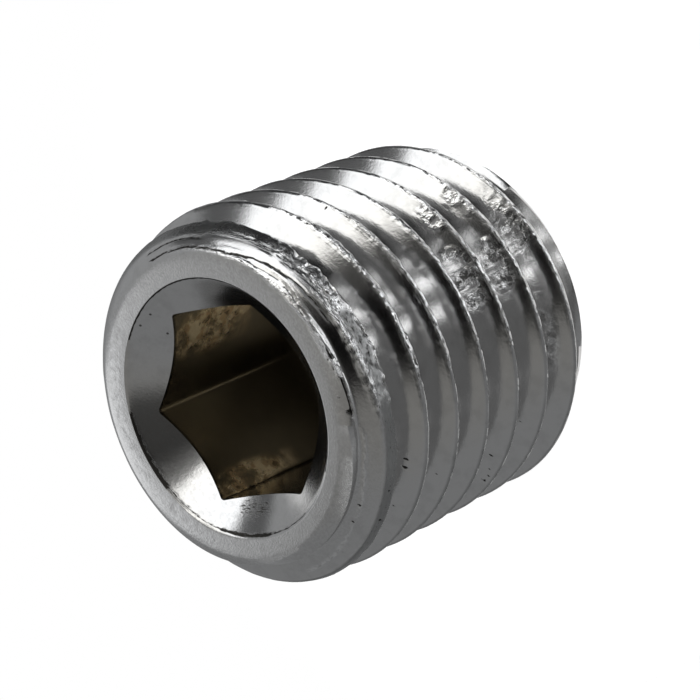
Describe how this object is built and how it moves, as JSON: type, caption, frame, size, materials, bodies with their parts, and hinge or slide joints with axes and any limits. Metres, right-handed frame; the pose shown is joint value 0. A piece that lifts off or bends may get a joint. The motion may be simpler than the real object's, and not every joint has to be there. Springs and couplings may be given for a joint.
{
  "type": "hex socket plug",
  "caption": "Short threaded steel plug with a slightly tapered outside thread, a rounded nose and a countersunk hexagon socket in its wide end.",
  "frame": {"origin": "centre of the flat far end, on which the plug stands", "axes": "+Z along the thread's axis, from the far end to the socket face; +X through a corner of the hexagon"},
  "size_m": [0.008, 0.008, 0.008],
  "materials": {
    "steel": "machined, bright flanks, torn and pitted thread crests"
  },
  "bodies": {
    "root": {"plug": "steel"}
  },
  "joints": []
}
